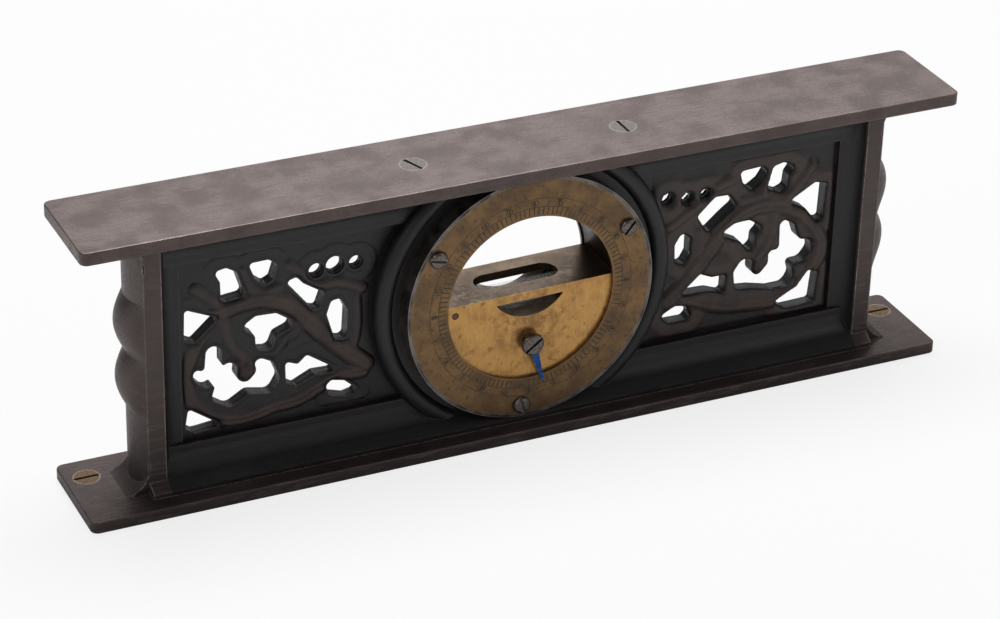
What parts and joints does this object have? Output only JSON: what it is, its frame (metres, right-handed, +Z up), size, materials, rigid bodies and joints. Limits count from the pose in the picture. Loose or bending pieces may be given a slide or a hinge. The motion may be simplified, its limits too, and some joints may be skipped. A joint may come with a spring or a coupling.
{
  "type": "inclinometer",
  "caption": "Cast iron inclinometer: fretted frame between two rails, graduated ring, and a wheel with a level vial and pointer.",
  "frame": {"origin": "middle of the base rail's underside", "axes": "+X along the rails, +Y towards the back, away from the dial, +Z up"},
  "size_m": [0.178, 0.0222, 0.0577],
  "materials": {
    "japanned_iron": "black japan, worn to brown and bare iron on the edges",
    "machined_iron": "turned grey iron, dulled",
    "aged_brass": "engraved brass, darkened olive-brown",
    "wheel_brass": "golden brass, lightly tarnished",
    "dark_steel": "browned steel with bright slot edges",
    "spring_steel": "tempered strip",
    "blued_steel": "heat-blued, polished",
    "vial_glass": "clear blown glass",
    "spirit": "clear spirit",
    "plaster": "plaster"
  },
  "bodies": {
    "frame": {"frame_casting": "japanned_iron", "base_plug_screws": "aged_brass"},
    "housing": {"housing_drum": "machined_iron", "dial_ring": "aged_brass", "dial_screws": "dark_steel"},
    "wheel": {"vial_wheel": "wheel_brass", "friction_spring": "spring_steel", "vial_glass": "vial_glass", "vial_spirit": "spirit", "vial_bedding": "plaster", "vial_plug_left": "wheel_brass", "vial_plug_right": "wheel_brass", "vial_plug_pin": "dark_steel", "pointer_screw": "dark_steel", "pointer_spacer": "wheel_brass"},
    "pointer": {"pointer": "blued_steel"},
    "pad_left": {"clamp_pad_left": "wheel_brass"},
    "screw_left": {"clamp_screw_left": "dark_steel"},
    "pad_right": {"clamp_pad_right": "wheel_brass"},
    "screw_right": {"clamp_screw_right": "dark_steel"}
  },
  "joints": [
    {"name": "housing_turn", "type": "hinge", "parent": "frame", "child": "housing", "pos_m": [0, 0, 0.02885], "axis": [0, -1, 0], "range_deg": [-4, 4]},
    {"name": "wheel_turn", "type": "hinge", "parent": "housing", "child": "wheel", "pos_m": [0, 0, 0.02885], "axis": [0, -1, 0], "continuous": true},
    {"name": "pointer_swing", "type": "hinge", "parent": "wheel", "child": "pointer", "pos_m": [0.0002, -0.0077, 0.01925], "axis": [0, -1, 0], "range_deg": [-35, 5]},
    {"name": "clamp_pad_left_lift", "type": "slide", "parent": "frame", "child": "pad_left", "axis": [0, 0, 1], "range_m": [0, 0.0006]},
    {"name": "clamp_screw_left_turn", "type": "hinge", "parent": "pad_left", "child": "screw_left", "pos_m": [-0.02155, 0, 0.05], "axis": [0, 0, 1], "range_deg": [0, 360]},
    {"name": "clamp_pad_right_lift", "type": "slide", "parent": "frame", "child": "pad_right", "axis": [0, 0, 1], "range_m": [0, 0.0006]},
    {"name": "clamp_screw_right_turn", "type": "hinge", "parent": "pad_right", "child": "screw_right", "pos_m": [0.02155, 0, 0.05], "axis": [0, 0, 1], "range_deg": [0, 360]}
  ],
  "couplings": [
    {"joint": "clamp_screw_left_turn", "follows": "clamp_pad_left_lift", "rad_per_m": 10472},
    {"joint": "clamp_screw_right_turn", "follows": "clamp_pad_right_lift", "rad_per_m": 10472}
  ]
}
